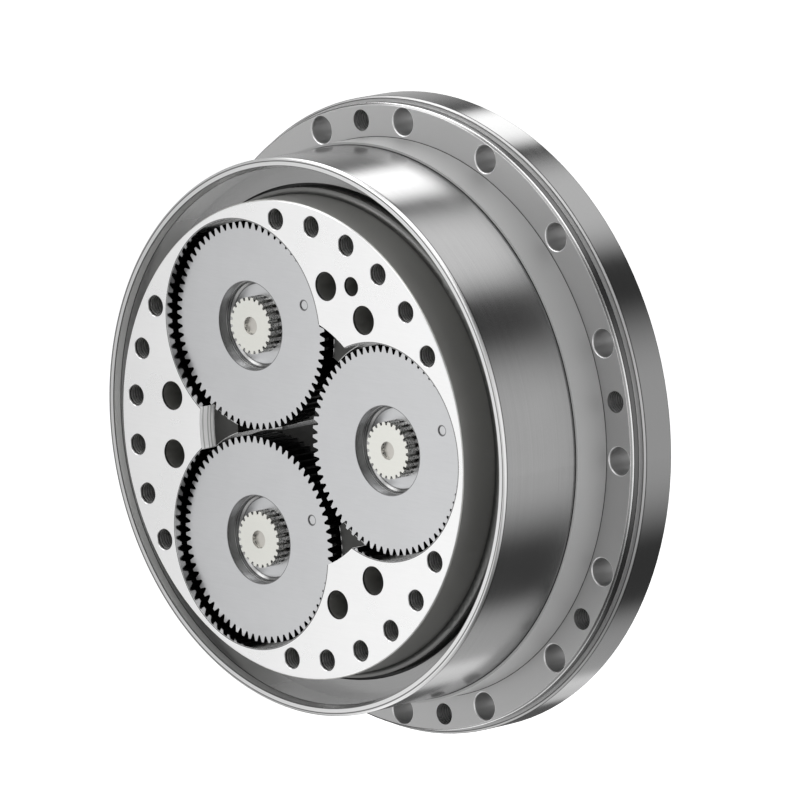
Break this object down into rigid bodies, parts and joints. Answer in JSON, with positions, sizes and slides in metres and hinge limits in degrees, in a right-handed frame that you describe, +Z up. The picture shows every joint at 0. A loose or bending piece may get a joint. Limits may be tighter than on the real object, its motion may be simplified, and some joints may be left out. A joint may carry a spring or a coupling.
{
  "type": "cycloidal reducer",
  "caption": "Flanged cycloidal speed reducer with three open spur gears on its carrier, for a robot joint, driven by a central input pinion.",
  "frame": {"origin": "centre of the flange's front mounting face", "axes": "+Z up, the reducer's axis along Y, the geared side facing -Y, one flange hole at the top"},
  "size_m": [0.325, 0.1259, 0.325],
  "materials": {
    "case_steel": "fine turned steel",
    "carrier_steel": "bright ground steel",
    "gear_steel": "satin ground steel",
    "spline_steel": "bright ground steel",
    "bearing_steel": "polished bearing steel",
    "disc_steel": "ground steel",
    "seal_steel": "satin pressed steel",
    "seal_rubber": "matt black",
    "bolt_steel": "black oxide",
    "cap_steel": "satin pressed steel"
  },
  "bodies": {
    "carrier": {"carrier": "carrier_steel", "crank_bearing_cup_front_1": "bearing_steel", "crank_bearing_cup_front_2": "bearing_steel", "crank_bearing_cup_front_3": "bearing_steel", "crank_bearing_cup_rear_1": "bearing_steel", "crank_bearing_cup_rear_2": "bearing_steel", "crank_bearing_cup_rear_3": "bearing_steel", "crank_end_cap_1": "cap_steel", "crank_end_cap_2": "cap_steel", "crank_end_cap_3": "cap_steel", "locating_pin": "bearing_steel", "main_bearing_cone_front": "bearing_steel", "main_bearing_cone_rear": "bearing_steel", "rear_plate": "carrier_steel", "tie_bolts": "bolt_steel"},
    "case": {"case": "case_steel", "front_seal_lip": "seal_rubber", "front_seal_shell": "seal_steel", "main_bearing_cup_front": "bearing_steel", "main_bearing_cup_rear": "bearing_steel", "rear_seal": "seal_rubber", "ring_pins": "bearing_steel"},
    "crank_1": {"crank_bearing_cones_1": "bearing_steel", "crank_bearing_rollers_1": "bearing_steel", "crankshaft_1": "spline_steel", "eccentric_rollers_1": "bearing_steel", "spur_gear_1": "gear_steel"},
    "crank_2": {"crank_bearing_cones_2": "bearing_steel", "crank_bearing_rollers_2": "bearing_steel", "crankshaft_2": "spline_steel", "eccentric_rollers_2": "bearing_steel", "spur_gear_2": "gear_steel"},
    "crank_3": {"crank_bearing_cones_3": "bearing_steel", "crank_bearing_rollers_3": "bearing_steel", "crankshaft_3": "spline_steel", "eccentric_rollers_3": "bearing_steel", "spur_gear_3": "gear_steel"},
    "disc_front": {"cycloid_disc_front": "disc_steel"},
    "disc_rear": {"cycloid_disc_rear": "disc_steel"},
    "rollers_front": {"main_rollers_front": "bearing_steel"},
    "rollers_rear": {"main_rollers_rear": "bearing_steel"}
  },
  "joints": [
    {"name": "carrier_spin", "type": "hinge", "parent": "case", "child": "carrier", "pos_m": [0, 0, 0], "axis": [0, 1, 0], "continuous": true},
    {"name": "crank_1_spin", "type": "hinge", "parent": "carrier", "child": "crank_1", "pos_m": [0.0627, 0, 0.00318], "axis": [0, 1, 0], "continuous": true},
    {"name": "crank_2_spin", "type": "hinge", "parent": "carrier", "child": "crank_2", "pos_m": [-0.0341, 0, 0.05271], "axis": [0, 1, 0], "continuous": true},
    {"name": "crank_3_spin", "type": "hinge", "parent": "carrier", "child": "crank_3", "pos_m": [-0.0286, 0, -0.05589], "axis": [0, 1, 0], "continuous": true},
    {"name": "disc_front_orbit", "type": "hinge", "parent": "crank_1", "child": "disc_front", "pos_m": [0.0649, -0.01, 0.00318], "axis": [0, 1, 0], "continuous": true},
    {"name": "rollers_front_spin", "type": "hinge", "parent": "case", "child": "rollers_front", "pos_m": [0, 0, 0], "axis": [0, 1, 0], "continuous": true},
    {"name": "disc_rear_orbit", "type": "hinge", "parent": "crank_1", "child": "disc_rear", "pos_m": [0.0605, 0.012, 0.00318], "axis": [0, 1, 0], "continuous": true},
    {"name": "rollers_rear_spin", "type": "hinge", "parent": "case", "child": "rollers_rear", "pos_m": [0, 0, 0], "axis": [0, 1, 0], "continuous": true}
  ],
  "couplings": [
    {"joint": "carrier_spin", "follows": "crank_1_spin", "ratio": -0.025},
    {"joint": "crank_2_spin", "follows": "crank_1_spin", "ratio": 1},
    {"joint": "crank_3_spin", "follows": "crank_1_spin", "ratio": 1},
    {"joint": "disc_front_orbit", "follows": "crank_1_spin", "ratio": -1},
    {"joint": "rollers_front_spin", "follows": "crank_1_spin", "ratio": -0.0121},
    {"joint": "disc_rear_orbit", "follows": "crank_1_spin", "ratio": -1},
    {"joint": "rollers_rear_spin", "follows": "crank_1_spin", "ratio": -0.0121}
  ]
}
